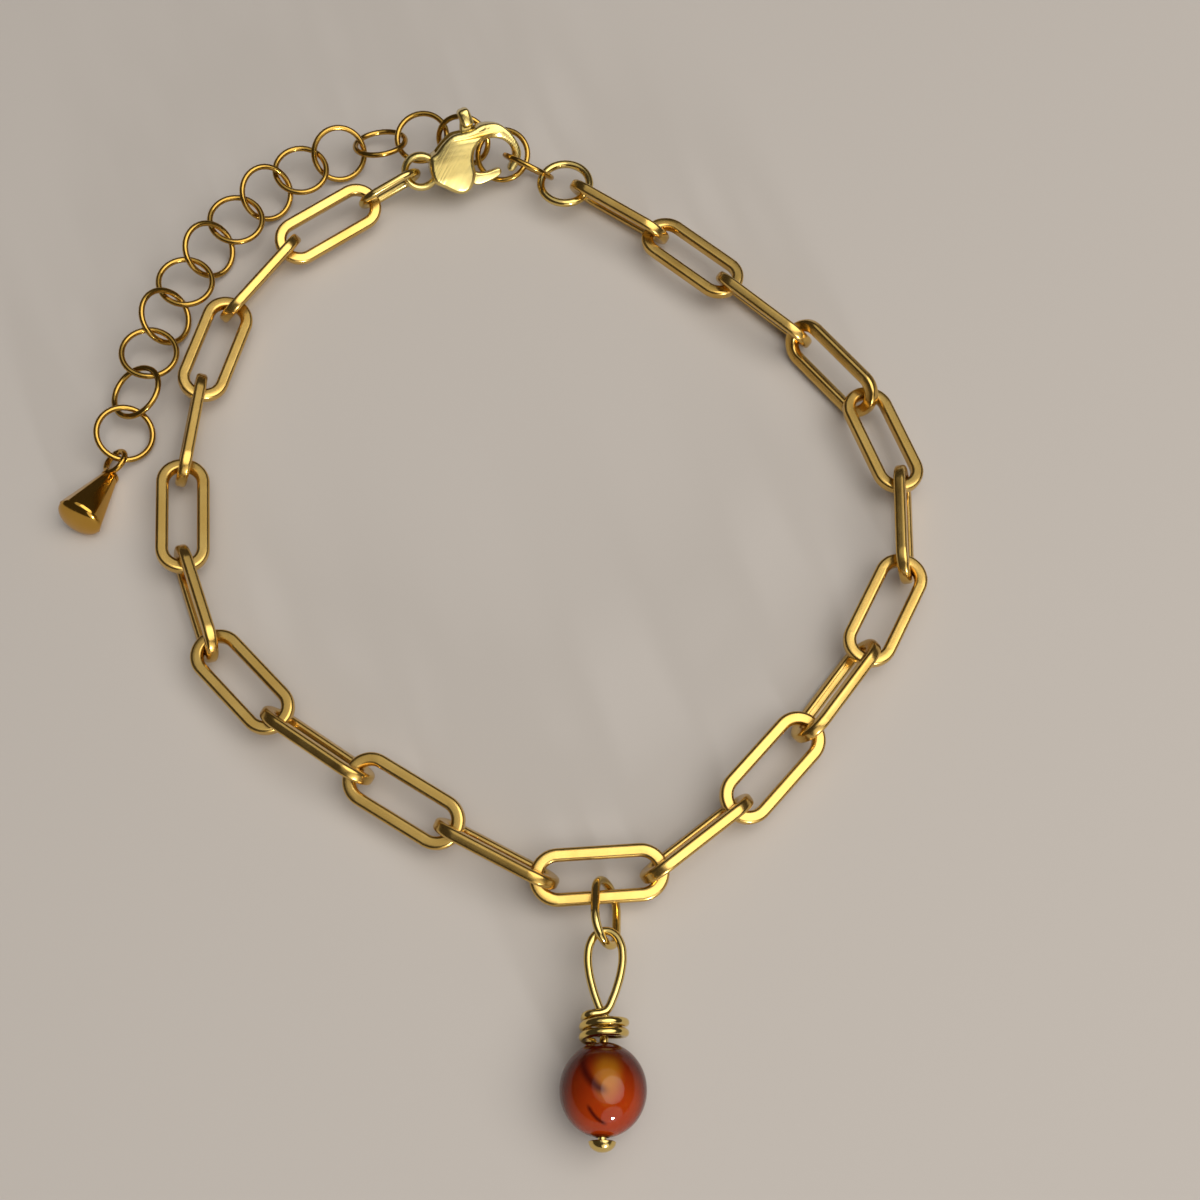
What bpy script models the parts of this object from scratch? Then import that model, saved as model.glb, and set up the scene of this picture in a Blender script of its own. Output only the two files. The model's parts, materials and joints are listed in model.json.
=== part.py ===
"""Birthstone bracelet: a closed paperclip chain with a lobster clasp, an extension chain and a bead charm.

Metres, +Z up. The bracelet lies on the plane z = 0, and the origin is under the middle of its box.
"""

import math

import bmesh
import bpy
from mathutils import Matrix, Vector

MM = 0.001

# Paperclip links of the loop
LINK_COUNT = 21
LINK_LENGTH = 10.2 * MM
LINK_WIDTH = 4.2 * MM
LINK_WIRE = 1.0 * MM

# Rings
RING_DIAMETER = 5.0 * MM
RING_WIRE = 0.5 * MM
JUMP_RING_DIAMETER = 5.0 * MM
JUMP_RING_WIRE = 0.7 * MM
CLASP_RING_LENGTH = 6.2 * MM
CLASP_RING_WIDTH = 3.9 * MM
CLASP_RING_WIRE = 0.7 * MM
CHARM_RING_LENGTH = 5.6 * MM
CHARM_RING_WIDTH = 3.9 * MM
CHARM_RING_WIRE = 0.65 * MM

# Clearance between two wires that hold each other
JOINT_GAP = 0.2 * MM

# Charm
BEAD_DIAMETER = 6.0 * MM
BEAD_LENGTH = 6.3 * MM
PIN_WIRE = 0.68 * MM
PIN_LOOP_LENGTH = 5.4 * MM
PIN_LOOP_WIDTH = 3.2 * MM
PIN_HEAD_DIAMETER = 1.9 * MM
PIN_HEAD_HEIGHT = 0.7 * MM
PIN_CROSSING = 0.35  # from the loop's neck to the first wrap, in wires
WRAP_TURNS = 2.4
WRAP_DIAMETER = 3.5 * MM
WRAP_PITCH = 0.76 * MM
BEAD_HOLE_CLEARANCE = 0.15 * MM
CHARM_PLACE = 0.4 * MM  # along link_11 from its middle
CHARM_HEADING = -91
CHARM_RING_ROLL = 76

# Teardrop at the free end; it lies on one of its facets
DROP_LENGTH = 5.7 * MM
DROP_DIAMETER = 3.9 * MM
DROP_NECK_DIAMETER = 1.2 * MM
DROP_EYE_DIAMETER = 2.5 * MM
DROP_EYE_WIRE = 0.5 * MM
DROP_FACETS = 10
DROP_EYE_HEIGHT = 1.1 * MM
DROP_EYE_ROLL = 34
DROP_HEADING = 250
DROP_SIDE = 0.88  # the facets' share of its length; the rounded base has the rest

# Clasp, seen from its broad face. Its tables are in mm on a clasp of CLASP_TABLE_LENGTH, measured from the eye's
# middle, and follow CLASP_LENGTH.
CLASP_LENGTH = 10.4 * MM
CLASP_TABLE_LENGTH = 10.4
CLASP_UNIT = CLASP_LENGTH / CLASP_TABLE_LENGTH
CLASP_THICKNESS = 2.6 * MM
CLASP_HOOK_THICKNESS = 1.25 * MM
CLASP_EYE_DIAMETER = 3.4 * MM
CLASP_EYE_HOLE = 2.1 * MM
CLASP_EYE_THICKNESS = 1.1 * MM
CLASP_SLOT = 1.2 * MM
SLOT_START = 1.55
SLOT_END = 5.4
HOOK_TAPER_START = 5.0
HOOK_TAPER_LENGTH = 2.4
CLASP_ROLL = 50
CLASP_HEIGHT = 3.1 * MM
CLASP_EDGE = 0.22 * MM
LEVER_THICKNESS = 0.9 * MM
LEVER_PIN_DIAMETER = 0.7 * MM
LEVER_PIN_CLEARANCE = 0.1 * MM
KNOB_DIAMETER = 1.5 * MM
CLASP_OUTLINE = [
    (0.9, -0.95), (2.0, -1.9), (3.2, -2.4), (4.4, -2.35), (5.0, -1.9), (4.95, -0.9), (4.7, 0.1),
    (5.1, 1.2), (6.2, 1.75), (7.5, 1.45), (8.2, 0.6), (8.2, -0.3), (7.75, -0.9), (7.65, -1.3),
    (8.1, -1.4), (8.75, -0.7), (9.0, 0.3), (8.5, 1.7), (7.5, 2.75), (6.2, 3.05), (5.2, 2.85),
    (4.4, 2.72), (3.3, 2.7), (2.4, 2.25), (1.6, 1.5), (0.9, 0.95),
]
LEVER_PIVOT = (3.5, 0.2)
LEVER_OUTLINE = [
    (2.5, 0.2), (2.7, -0.7), (3.5, -1.2), (4.6, -2.0), (5.6, -1.95), (6.7, -1.62), (7.0, -1.3),
    (6.8, -0.95), (5.7, -1.1), (4.8, -0.9), (4.5, 0.0), (4.7, 1.2), (5.1, 2.6), (5.15, 3.6),
    (4.6, 3.9), (4.2, 3.5), (3.9, 2.0), (3.3, 1.2), (2.7, 0.9),
]
KNOB_PLACE = (4.72, 3.72)

# Where the two rings hold in the clasp
HOOK_HOLD = 7.85
EYE_HOLD = -0.72
HOLD_SIDE = -0.2

# Straight runs round each half of a link's and a ring's wire, and the links' middle above the surface
LINK_END_STEPS = 6
RING_STEPS = 8
CHAIN_HEIGHT = 0.5 * LINK_WIDTH

# The loop's route seen from above, a few chosen points in mm from its middle, clasp first, counter-clockwise.
# It is scaled, within these bounds, so that the whole chain closes on it.
ROUTE_SCALES = (0.7, 1.4)
LOOP_ROUTE = [
    (-8.2, 42.2),
    (-15.3, 40.6),
    (-20.8, 37.9),
    (-27.3, 33.0),
    (-31.7, 26.2),
    (-34.0, 14.5),
    (-33.2, 2.3),
    (-30.2, -5.2),
    (-24.5, -11.0),
    (-10.9, -19.8),
    (-3.6, -23.5),
    (4.4, -22.7),
    (10.8, -17.4),
    (15.8, -11.7),
    (20.7, -5.2),
    (24.3, 1.9),
    (24.6, 10.0),
    (21.8, 17.7),
    (16.7, 24.0),
    (4.7, 34.8),
    (-1.9, 39.4),
    (-5.0, 41.0),
]

# Each link's roll about its own length in degrees, link_01 first: 0 lies flat, 90 stands on edge.
LINK_ROLLS = [
    -22, 60, -16, 70, -12, 74, 2, -66, 14, -68, 18, -70,
    14, -62, 2, 72, 5, -60, 64, 0, 66,
]

# The extension chain from its second ring on: heading and roll in degrees, height of the far joint as a share
# of the ring's diameter.
EXTENSION = [
    {"heading": 154, "roll": -24, "height": 0.42},
    {"heading": 166, "roll": -64, "height": 0.5},
    {"heading": 183, "roll": -16, "height": 0.42},
    {"heading": 193, "roll": 24, "height": 0.42},
    {"heading": 203, "roll": -48, "height": 0.42},
    {"heading": 216, "roll": -8, "height": 0.42},
    {"heading": 227, "roll": -48, "height": 0.42},
    {"heading": 234, "roll": -8, "height": 0.42},
    {"heading": 241, "roll": -48, "height": 0.42},
    {"heading": 246, "roll": -8, "height": 0.42},
    {"heading": 253, "roll": -48, "height": 0.42},
    {"heading": 258, "roll": -8, "height": 0.42},
    {"heading": 261, "roll": 24, "height": 0.34},
    {"heading": 260, "roll": -24, "height": 0.24},
]
HANG_ANGLE = -62  # where ext_ring_02 hangs round ext_ring_01, in degrees from its far end
JUMP_RING_ROLL = 0
HOOKED_RING_ROLL = 56
CLASP_RING_ROLL = 64

GOLD = {"base": (0.72, 0.46, 0.11, 1.0), "metallic": 1.0, "roughness": 0.28}
PALE_GOLD = {"base": (0.80, 0.66, 0.30, 1.0), "metallic": 1.0, "roughness": 0.25}
CARNELIAN = {"base": (0.45, 0.05, 0.008, 1.0), "metallic": 0.0, "roughness": 0.12}


def make_material(name, look):
    """A Principled material of the piece's own colour."""
    material = bpy.data.materials.new(name)
    material.use_nodes = True
    shader = material.node_tree.nodes["Principled BSDF"]
    shader.inputs["Base Color"].default_value = look["base"]
    shader.inputs["Metallic"].default_value = look["metallic"]
    shader.inputs["Roughness"].default_value = look["roughness"]
    return material


def catmull_point(points, t):
    """A point at t (0 to 1) round the closed smooth curve through the points."""
    count = len(points)
    place = (t % 1.0) * count
    index = int(place)
    f = place - index
    a, b, c, d = (points[(index + k) % count] for k in (-1, 0, 1, 2))
    return 0.5 * ((2 * b) + (c - a) * f + (2 * a - 5 * b + 4 * c - d) * f * f + (3 * b - a - 3 * c + d) * f ** 3)


def walk(points, steps):
    """Joints at the given chord steps along the closed curve, and where on it the last one lies."""
    t = 0.0
    here = catmull_point(points, t)
    joints = [here]
    for step in steps:
        low = t
        high = t + 0.08
        for _ in range(40):
            middle = 0.5 * (low + high)
            if (catmull_point(points, middle) - here).length < step:
                low = middle
            else:
                high = middle
        t = high
        here = catmull_point(points, t)
        joints.append(here)
    return joints, t


def closed_joints(route, steps):
    """The route is scaled until the steps go round it exactly once."""
    low, high = ROUTE_SCALES
    for _ in range(50):
        scale = 0.5 * (low + high)
        points = [Vector((x, y, 0)) * (MM * scale) for x, y in route]
        joints, t = walk(points, steps)
        if t > 1.0:
            low = scale
        else:
            high = scale
    return joints[:-1]


def place_between(start, end, roll_degrees):
    """Axes of a piece whose length runs from start to end, rolled about it: X length, Y width, Z face normal."""
    along = (end - start).normalized()
    left = Vector((0, 0, 1)).cross(along).normalized()
    up = along.cross(left)
    roll = math.radians(roll_degrees)
    across = math.cos(roll) * left + math.sin(roll) * up
    normal = along.cross(across)
    turn = Matrix((along, across, normal)).transposed().to_4x4()
    return Matrix.Translation(0.5 * (start + end)) @ turn


def oval_points(length, width, wire, steps):
    """Centre line of a stadium-shaped ring of round wire; a width equal to the length makes it a circle."""
    radius = 0.5 * (width - wire)
    straight = 0.5 * (length - width)
    points = []
    for side in (1, -1):
        for k in range(steps + 1):
            angle = math.radians(-90 + 180 * k / steps)
            if straight == 0 and k == steps:
                continue
            points.append((side * (straight + radius * math.cos(angle)), side * radius * math.sin(angle), 0.0))
    return points


def add_poly_curve(name, points, bevel, closed, collection, sides_level):
    """A wire on straight runs through the points; closed wires have no ends, open ones have caps."""
    curve = bpy.data.curves.new(name, "CURVE")
    curve.dimensions = "3D"
    curve.twist_mode = "Z_UP" if closed else "MINIMUM"
    spline = curve.splines.new("POLY")
    spline.points.add(len(points) - 1)
    for point, place in zip(spline.points, points):
        point.co = (*place, 1.0)
    spline.use_cyclic_u = closed
    spline.use_smooth = True
    curve.bevel_depth = 0.5 * bevel
    curve.bevel_resolution = sides_level
    curve.use_fill_caps = not closed
    piece = bpy.data.objects.new(name, curve)
    collection.objects.link(piece)
    return piece


def curve_to_mesh(piece):
    """The curve piece as a closed mesh in its own axes; the curve is removed."""
    graph = bpy.context.evaluated_depsgraph_get()
    mesh = bpy.data.meshes.new_from_object(piece.evaluated_get(graph))
    work = bmesh.new()
    work.from_mesh(mesh)
    bmesh.ops.remove_doubles(work, verts=work.verts, dist=0.0005 * MM)
    bmesh.ops.recalc_face_normals(work, faces=work.faces)
    work.to_mesh(mesh)
    work.free()
    name = piece.name
    collection = piece.users_collection[0]
    bpy.data.objects.remove(piece)
    solid = bpy.data.objects.new(name, mesh)
    collection.objects.link(solid)
    return solid


def cut_or_join(target, tool, operation):
    """Boolean with the exact solver, kept as a modifier of the target."""
    change = target.modifiers.new(operation.lower() + "_" + tool.name, "BOOLEAN")
    change.operation = operation
    change.solver = "EXACT"
    change.object = tool
    tool.hide_render = True
    tool.display_type = "WIRE"


def smooth_outline(points, unit, steps):
    """A closed smooth outline through chosen points."""
    corners = [Vector((x, y, 0)) * unit for x, y in points]
    count = len(corners) * steps
    return [catmull_point(corners, k / count) for k in range(count)]


def add_plate(name, outline, thickness, collection):
    """A flat outline extruded about z = 0, as a closed mesh."""
    curve = bpy.data.curves.new(name, "CURVE")
    curve.dimensions = "2D"
    curve.fill_mode = "BOTH"
    curve.extrude = 0.5 * thickness
    spline = curve.splines.new("POLY")
    spline.points.add(len(outline) - 1)
    for point, place in zip(spline.points, outline):
        point.co = (place[0], place[1], 0.0, 1.0)
    spline.use_cyclic_u = True
    piece = bpy.data.objects.new(name, curve)
    collection.objects.link(piece)
    return curve_to_mesh(piece)


def add_cylinder(name, radius, depth, place, sides, collection):
    """A cylinder along z about a point."""
    work = bmesh.new()
    bmesh.ops.create_cone(work, cap_ends=True, segments=sides, radius1=radius, radius2=radius, depth=depth,
                          matrix=Matrix.Translation(place))
    mesh = bpy.data.meshes.new(name)
    work.to_mesh(mesh)
    work.free()
    piece = bpy.data.objects.new(name, mesh)
    collection.objects.link(piece)
    return piece


def add_box(name, size, place, collection):
    """A box about a point."""
    work = bmesh.new()
    bmesh.ops.create_cube(work, size=1.0, matrix=Matrix.Translation(place) @ Matrix.Diagonal((*size, 1.0)))
    mesh = bpy.data.meshes.new(name)
    work.to_mesh(mesh)
    work.free()
    piece = bpy.data.objects.new(name, mesh)
    collection.objects.link(piece)
    return piece


def add_ball(name, radius, place, collection):
    """A ball about a point."""
    work = bmesh.new()
    bmesh.ops.create_uvsphere(work, u_segments=12, v_segments=8, radius=radius, matrix=Matrix.Translation(place))
    mesh = bpy.data.meshes.new(name)
    work.to_mesh(mesh)
    work.free()
    piece = bpy.data.objects.new(name, mesh)
    collection.objects.link(piece)
    return piece


def clasp_point(x, y, z=0.0):
    """A place on the clasp, from its table's lengths."""
    return Vector((x * CLASP_UNIT, y * CLASP_UNIT, z))


def build_clasp_body(parts, cutters):
    """Cheeks, hook and eye from one outline, slotted for the lever, with the pivot pin across the slot."""
    body = add_plate("clasp_body", smooth_outline(CLASP_OUTLINE, CLASP_UNIT, 2), CLASP_THICKNESS, parts)
    hook_start = HOOK_TAPER_START * CLASP_UNIT
    taper_length = HOOK_TAPER_LENGTH * CLASP_UNIT
    thin = CLASP_HOOK_THICKNESS / CLASP_THICKNESS
    for vertex in body.data.vertices:
        share = min(1.0, max(0.0, (vertex.co.x - hook_start) / taper_length))
        vertex.co.z *= 1.0 + (thin - 1.0) * share
    slot_size = ((SLOT_END - SLOT_START) * CLASP_UNIT, CLASP_LENGTH, CLASP_SLOT)
    slot = add_box("slot_cutter", slot_size, clasp_point(0.5 * (SLOT_START + SLOT_END), 0.0), cutters)
    cut_or_join(body, slot, "DIFFERENCE")
    pivot = clasp_point(*LEVER_PIVOT)
    pin = add_cylinder("pin_cutter", 0.5 * LEVER_PIN_DIAMETER, CLASP_THICKNESS - 2 * CLASP_EDGE, pivot, 12, cutters)
    cut_or_join(body, pin, "UNION")
    eye = add_cylinder("eye_cutter", 0.5 * CLASP_EYE_DIAMETER, CLASP_EYE_THICKNESS, Vector((0, 0, 0)), 16, cutters)
    rim = eye.modifiers.new("edge", "BEVEL")
    rim.width = CLASP_EDGE
    rim.segments = 1
    rim.limit_method = "ANGLE"
    cut_or_join(body, eye, "UNION")
    hole = add_cylinder("hole_cutter", 0.5 * CLASP_EYE_HOLE, 2 * CLASP_THICKNESS, Vector((0, 0, 0)), 16, cutters)
    cut_or_join(body, hole, "DIFFERENCE")
    return body, [slot, pin, eye, hole]


def build_clasp_lever(parts, cutters):
    """The rocker: gate arm, hub round the pin, and the thumb knob."""
    lever = add_plate("clasp_lever", smooth_outline(LEVER_OUTLINE, CLASP_UNIT, 2), LEVER_THICKNESS, parts)
    knob = add_ball("knob_cutter", 0.5 * KNOB_DIAMETER, clasp_point(*KNOB_PLACE), cutters)
    cut_or_join(lever, knob, "UNION")
    hole_radius = 0.5 * LEVER_PIN_DIAMETER + LEVER_PIN_CLEARANCE
    hole = add_cylinder("bearing_cutter", hole_radius, 2 * CLASP_THICKNESS, clasp_point(*LEVER_PIVOT), 12, cutters)
    cut_or_join(lever, hole, "DIFFERENCE")
    return lever, [knob, hole]


def ring_data(name, length, width, wire, steps):
    """The shared shape of one kind of link or ring."""
    holder = bpy.data.collections.new(name + "_shape")
    piece = add_poly_curve(name, oval_points(length, width, wire, steps), wire, True, holder, 1)
    shape = piece.data
    bpy.data.objects.remove(piece)
    bpy.data.collections.remove(holder)
    return shape


def ring_pitch(length, wire):
    """How far apart a ring holds its two neighbours."""
    return length - 2 * wire - JOINT_GAP


def place_piece(name, shape, matrix, collection, material):
    """One copy of a shape at its place."""
    piece = bpy.data.objects.new(name, shape)
    piece.matrix_world = matrix
    collection.objects.link(piece)
    if not shape.materials:
        shape.materials.append(material)
    return piece


def raised(point, height):
    """The point at a height above the surface."""
    return Vector((point.x, point.y, height))


def turned(profile, sides, collection, name):
    """A closed solid turned about x from (x, radius) pairs, ends on the axis."""
    work = bmesh.new()
    rings = []
    for x, radius in profile:
        if radius == 0:
            rings.append([work.verts.new((x, 0, 0))])
            continue
        ring = []
        for k in range(sides):
            angle = 2 * math.pi * (k + 0.5) / sides - 0.5 * math.pi
            ring.append(work.verts.new((x, radius * math.cos(angle), radius * math.sin(angle))))
        rings.append(ring)
    for near, far in zip(rings, rings[1:]):
        for k in range(sides):
            corners = [near[k % len(near)], near[(k + 1) % len(near)], far[(k + 1) % len(far)], far[k % len(far)]]
            work.faces.new(list(dict.fromkeys(corners)))
    bmesh.ops.recalc_face_normals(work, faces=work.faces)
    mesh = bpy.data.meshes.new(name)
    work.to_mesh(mesh)
    work.free()
    piece = bpy.data.objects.new(name, mesh)
    collection.objects.link(piece)
    return piece


def build_drop(matrix, parts, cutters):
    """The faceted cone lying on a facet, with its eye soldered to the neck. Local X runs from the eye's joint."""
    eye_radius = 0.5 * (DROP_EYE_DIAMETER - DROP_EYE_WIRE)
    eye_centre = eye_radius - 0.5 * (DROP_EYE_WIRE + JOINT_GAP)
    neck = eye_centre + eye_radius
    flat = math.cos(math.pi / DROP_FACETS)
    neck_radius = 0.5 * DROP_NECK_DIAMETER
    base_radius = 0.5 * DROP_DIAMETER
    side = DROP_SIDE * DROP_LENGTH
    slope = math.asin((base_radius - neck_radius) * flat / math.hypot(side, (base_radius - neck_radius) * flat))
    profile = [
        (0.0, 0.0), (0.0, neck_radius), (side, base_radius), (side + 0.05 * DROP_LENGTH, 0.9 * base_radius),
        (side + 0.1 * DROP_LENGTH, 0.6 * base_radius), (DROP_LENGTH, 0.0),
    ]
    cone = turned(profile, DROP_FACETS, parts, "drop")
    lift = neck_radius * flat / math.cos(slope)
    lean = Matrix.Rotation(-slope, 4, "Y")
    cone.data.transform(Matrix.Translation((neck, 0.0, lift)) @ lean)
    lowest = min(vertex.co.z for vertex in cone.data.vertices)
    cone.data.transform(Matrix.Translation((0.0, 0.0, -lowest)))
    ring = oval_points(DROP_EYE_DIAMETER, DROP_EYE_DIAMETER, DROP_EYE_WIRE, RING_STEPS)
    eye = curve_to_mesh(add_poly_curve("drop_eye_tool", ring, DROP_EYE_WIRE, True, cutters, 1))
    tilt = Matrix.Rotation(math.radians(DROP_EYE_ROLL), 4, "X")
    eye.data.transform(Matrix.Translation((eye_centre, 0.0, DROP_EYE_HEIGHT)) @ tilt)
    cut_or_join(cone, eye, "UNION")
    for piece in (cone, eye):
        piece.matrix_world = matrix
    return cone, [eye]


def pin_path(neck):
    """The charm's one wire: shaft, loop and wraps. Local X runs from the loop's joint to the bead."""
    apex = -0.5 * (PIN_WIRE + JOINT_GAP)
    half_width = 0.5 * (PIN_LOOP_WIDTH - PIN_WIRE)
    wrap_radius = 0.5 * (WRAP_DIAMETER - PIN_WIRE)
    points = []
    loop_steps = 16
    for k in range(loop_steps + 1):
        angle = math.pi * (2.0 * k / loop_steps - 1.0)
        swell = 0.5 * (1.0 + math.cos(angle))
        x = neck + (apex - neck) * swell
        y = half_width * math.sin(angle) * (0.62 + 0.55 * swell)
        z = 0.75 * PIN_WIRE * (k / loop_steps) ** 2
        points.append((x, y, z))
    steps = 12
    total = round(WRAP_TURNS * steps)
    for k in range(2, total):
        angle = 0.5 * math.pi + 2.0 * math.pi * k / steps
        reach = wrap_radius * min(1.0, 0.62 + 0.1 * k)
        x = neck + PIN_CROSSING * PIN_WIRE + WRAP_PITCH * k / steps
        points.append((x, reach * math.cos(angle), reach * math.sin(angle)))
    return points


def build_charm(matrix, parts, cutters):
    """Head pin and drilled bead, lying with the bead on the surface."""
    neck = PIN_LOOP_LENGTH - PIN_WIRE
    wraps_end = neck + PIN_CROSSING * PIN_WIRE + WRAP_PITCH * WRAP_TURNS
    bead_start = wraps_end + 0.5 * PIN_WIRE + JOINT_GAP
    bead_end = bead_start + BEAD_LENGTH
    height = 0.5 * BEAD_DIAMETER
    tip = bead_end + JOINT_GAP
    path = [(tip + 0.5 * PIN_HEAD_HEIGHT, 0.0, 0.0), (bead_start, 0.0, 0.0)] + pin_path(neck)
    pin = curve_to_mesh(add_poly_curve("head_pin", path, PIN_WIRE, False, parts, 1))
    dome = [
        (tip, 0.0), (tip, 0.5 * PIN_HEAD_DIAMETER), (tip + 0.45 * PIN_HEAD_HEIGHT, 0.46 * PIN_HEAD_DIAMETER),
        (tip + 0.85 * PIN_HEAD_HEIGHT, 0.27 * PIN_HEAD_DIAMETER), (tip + PIN_HEAD_HEIGHT, 0.0),
    ]
    head = turned(dome, 12, cutters, "pin_head_tool")
    cut_or_join(pin, head, "UNION")
    middle = 0.5 * (bead_start + bead_end)
    work = bmesh.new()
    shape = Matrix.Translation((middle, 0, 0)) @ Matrix.Diagonal((BEAD_LENGTH / BEAD_DIAMETER, 1, 1, 1))
    turn = Matrix.Rotation(math.radians(90), 4, "Y")
    bmesh.ops.create_uvsphere(work, u_segments=16, v_segments=12, radius=0.5 * BEAD_DIAMETER, matrix=shape @ turn)
    mesh = bpy.data.meshes.new("birthstone")
    work.to_mesh(mesh)
    work.free()
    bead = bpy.data.objects.new("birthstone", mesh)
    parts.objects.link(bead)
    drill = add_cylinder("drill_cutter", 0.5 * PIN_WIRE + BEAD_HOLE_CLEARANCE, 2 * BEAD_LENGTH, Vector((0, 0, 0)), 12,
                         cutters)
    drill.data.transform(Matrix.Translation((middle, 0, 0)) @ turn)
    cut_or_join(bead, drill, "DIFFERENCE")
    for piece in (pin, head, bead, drill):
        piece.matrix_world = matrix @ Matrix.Translation((0, 0, height))
    return pin, bead, [head, drill]


def whole_box(collection):
    """Lowest and highest corners of every solid as evaluated."""
    graph = bpy.context.evaluated_depsgraph_get()
    places = []
    for piece in collection.objects:
        if piece.type == "EMPTY":
            continue
        mesh = bpy.data.meshes.new_from_object(piece.evaluated_get(graph))
        places += [piece.matrix_world @ vertex.co for vertex in mesh.vertices]
        bpy.data.meshes.remove(mesh)
    low = Vector([min(place[axis] for place in places) for axis in range(3)])
    high = Vector([max(place[axis] for place in places) for axis in range(3)])
    return low, high


def main():
    """Builds every piece at its place, then moves the whole so that its box's bottom centre is the origin."""
    for old in list(bpy.data.objects):
        bpy.data.objects.remove(old)
    parts = bpy.data.collections.new("birthstone_bracelet")
    cutters = bpy.data.collections.new("cutters")
    for collection in (parts, cutters):
        bpy.context.scene.collection.children.link(collection)
    gold = make_material("gold_plated_steel", GOLD)
    pale = make_material("pale_gold_brass", PALE_GOLD)
    stone = make_material("carnelian", CARNELIAN)
    frame = bpy.data.objects.new("bracelet_frame", None)
    parts.objects.link(frame)

    steps = [(HOOK_HOLD - EYE_HOLD) * CLASP_UNIT, ring_pitch(CLASP_RING_LENGTH, CLASP_RING_WIRE)]
    steps += [ring_pitch(LINK_LENGTH, LINK_WIRE)] * LINK_COUNT
    steps += [ring_pitch(JUMP_RING_DIAMETER, JUMP_RING_WIRE), ring_pitch(RING_DIAMETER, RING_WIRE)]
    flat_joints = closed_joints(LOOP_ROUTE, steps)
    heights = [CLASP_HEIGHT, CLASP_HEIGHT] + [CHAIN_HEIGHT] * (len(steps) - 2)
    joints = [raised(point, height) for point, height in zip(flat_joints, heights)]
    joints.append(joints[0])

    hook_hold, eye_hold = joints[0], joints[1]
    clasp_turn = place_between(eye_hold, hook_hold, CLASP_ROLL)
    clasp_turn.translation = eye_hold - clasp_turn.to_3x3() @ clasp_point(EYE_HOLD, HOLD_SIDE)
    body, body_tools = build_clasp_body(parts, cutters)
    lever, lever_tools = build_clasp_lever(parts, cutters)
    for piece in [body, lever, *body_tools, *lever_tools]:
        piece.matrix_world = clasp_turn
    for piece in (body, lever):
        piece.data.materials.append(pale)

    clasp_ring = ring_data("clasp_ring", CLASP_RING_LENGTH, CLASP_RING_WIDTH, CLASP_RING_WIRE, RING_STEPS)
    place_piece("clasp_ring", clasp_ring, place_between(joints[1], joints[2], CLASP_RING_ROLL), parts, gold)
    link = ring_data("link", LINK_LENGTH, LINK_WIDTH, LINK_WIRE, LINK_END_STEPS)
    for index in range(LINK_COUNT):
        matrix = place_between(joints[index + 2], joints[index + 3], LINK_ROLLS[index])
        place_piece(f"link_{index + 1:02d}", link, matrix, parts, gold)
    jump_ring = ring_data("jump_ring", JUMP_RING_DIAMETER, JUMP_RING_DIAMETER, JUMP_RING_WIRE, RING_STEPS)
    place_piece("jump_ring", jump_ring, place_between(joints[-3], joints[-2], JUMP_RING_ROLL), parts, gold)
    ring = ring_data("ext_ring", RING_DIAMETER, RING_DIAMETER, RING_WIRE, RING_STEPS)
    hooked = place_between(joints[-2], joints[-1], HOOKED_RING_ROLL)
    place_piece("ext_ring_01", ring, hooked, parts, gold)

    pitch = ring_pitch(RING_DIAMETER, RING_WIRE)
    reach = 0.5 * RING_DIAMETER - 1.5 * RING_WIRE - JOINT_GAP
    side = math.radians(HANG_ANGLE)
    here = hooked @ Vector((reach * math.cos(side), reach * math.sin(side), 0.0))
    for index, row in enumerate(EXTENSION):
        heading = math.radians(row["heading"])
        level = row["height"] * RING_DIAMETER
        run = Vector((math.cos(heading), math.sin(heading), 0.0)) * math.sqrt(pitch ** 2 - (level - here.z) ** 2)
        there = raised(here + run, level)
        place_piece(f"ext_ring_{index + 2:02d}", ring, place_between(here, there, row["roll"]), parts, gold)
        here = there
    drop_turn = Matrix.Translation(raised(here, 0.0)) @ Matrix.Rotation(math.radians(DROP_HEADING), 4, "Z")
    drop, drop_tools = build_drop(drop_turn, parts, cutters)
    drop.data.materials.append(gold)

    middle_link = place_between(joints[12], joints[13], LINK_ROLLS[10])
    run = middle_link @ Vector((CHARM_PLACE, -0.5 * (LINK_WIDTH - LINK_WIRE), 0.0))
    charm_heading = math.radians(CHARM_HEADING)
    out = Vector((math.cos(charm_heading), math.sin(charm_heading), 0.0))
    start = run - out * (0.5 * LINK_WIRE + 0.5 * JOINT_GAP)
    charm_pitch = ring_pitch(CHARM_RING_LENGTH, CHARM_RING_WIRE)
    rise = 0.5 * BEAD_DIAMETER - start.z
    end = raised(start + out * math.sqrt(charm_pitch ** 2 - rise ** 2), 0.5 * BEAD_DIAMETER)
    charm_ring = ring_data("charm_ring", CHARM_RING_LENGTH, CHARM_RING_WIDTH, CHARM_RING_WIRE, RING_STEPS)
    place_piece("charm_ring", charm_ring, place_between(start, end, CHARM_RING_ROLL), parts, pale)
    charm_turn = Matrix.Translation(raised(end, 0.0)) @ Matrix.Rotation(charm_heading, 4, "Z")
    pin, bead, charm_tools = build_charm(charm_turn, parts, cutters)
    pin.data.materials.append(pale)
    bead.data.materials.append(stone)

    for piece in (pin, bead):
        piece.data.shade_smooth()
    bpy.context.view_layer.update()
    low, high = whole_box(parts)
    frame.location = (-0.5 * (low.x + high.x), -0.5 * (low.y + high.y), -low.z)
    for piece in [*parts.objects, *cutters.objects]:
        if piece is not frame:
            piece.parent = frame


main()
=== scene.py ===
# Birthstone bracelet in Blender: a paperclip chain with its clasp, extension chain and carnelian charm.
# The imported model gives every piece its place; this script gives it its shape up close and its finish.

import json
import math

import bmesh
import bpy
import numpy as np
from mathutils import Matrix, Vector


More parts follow.
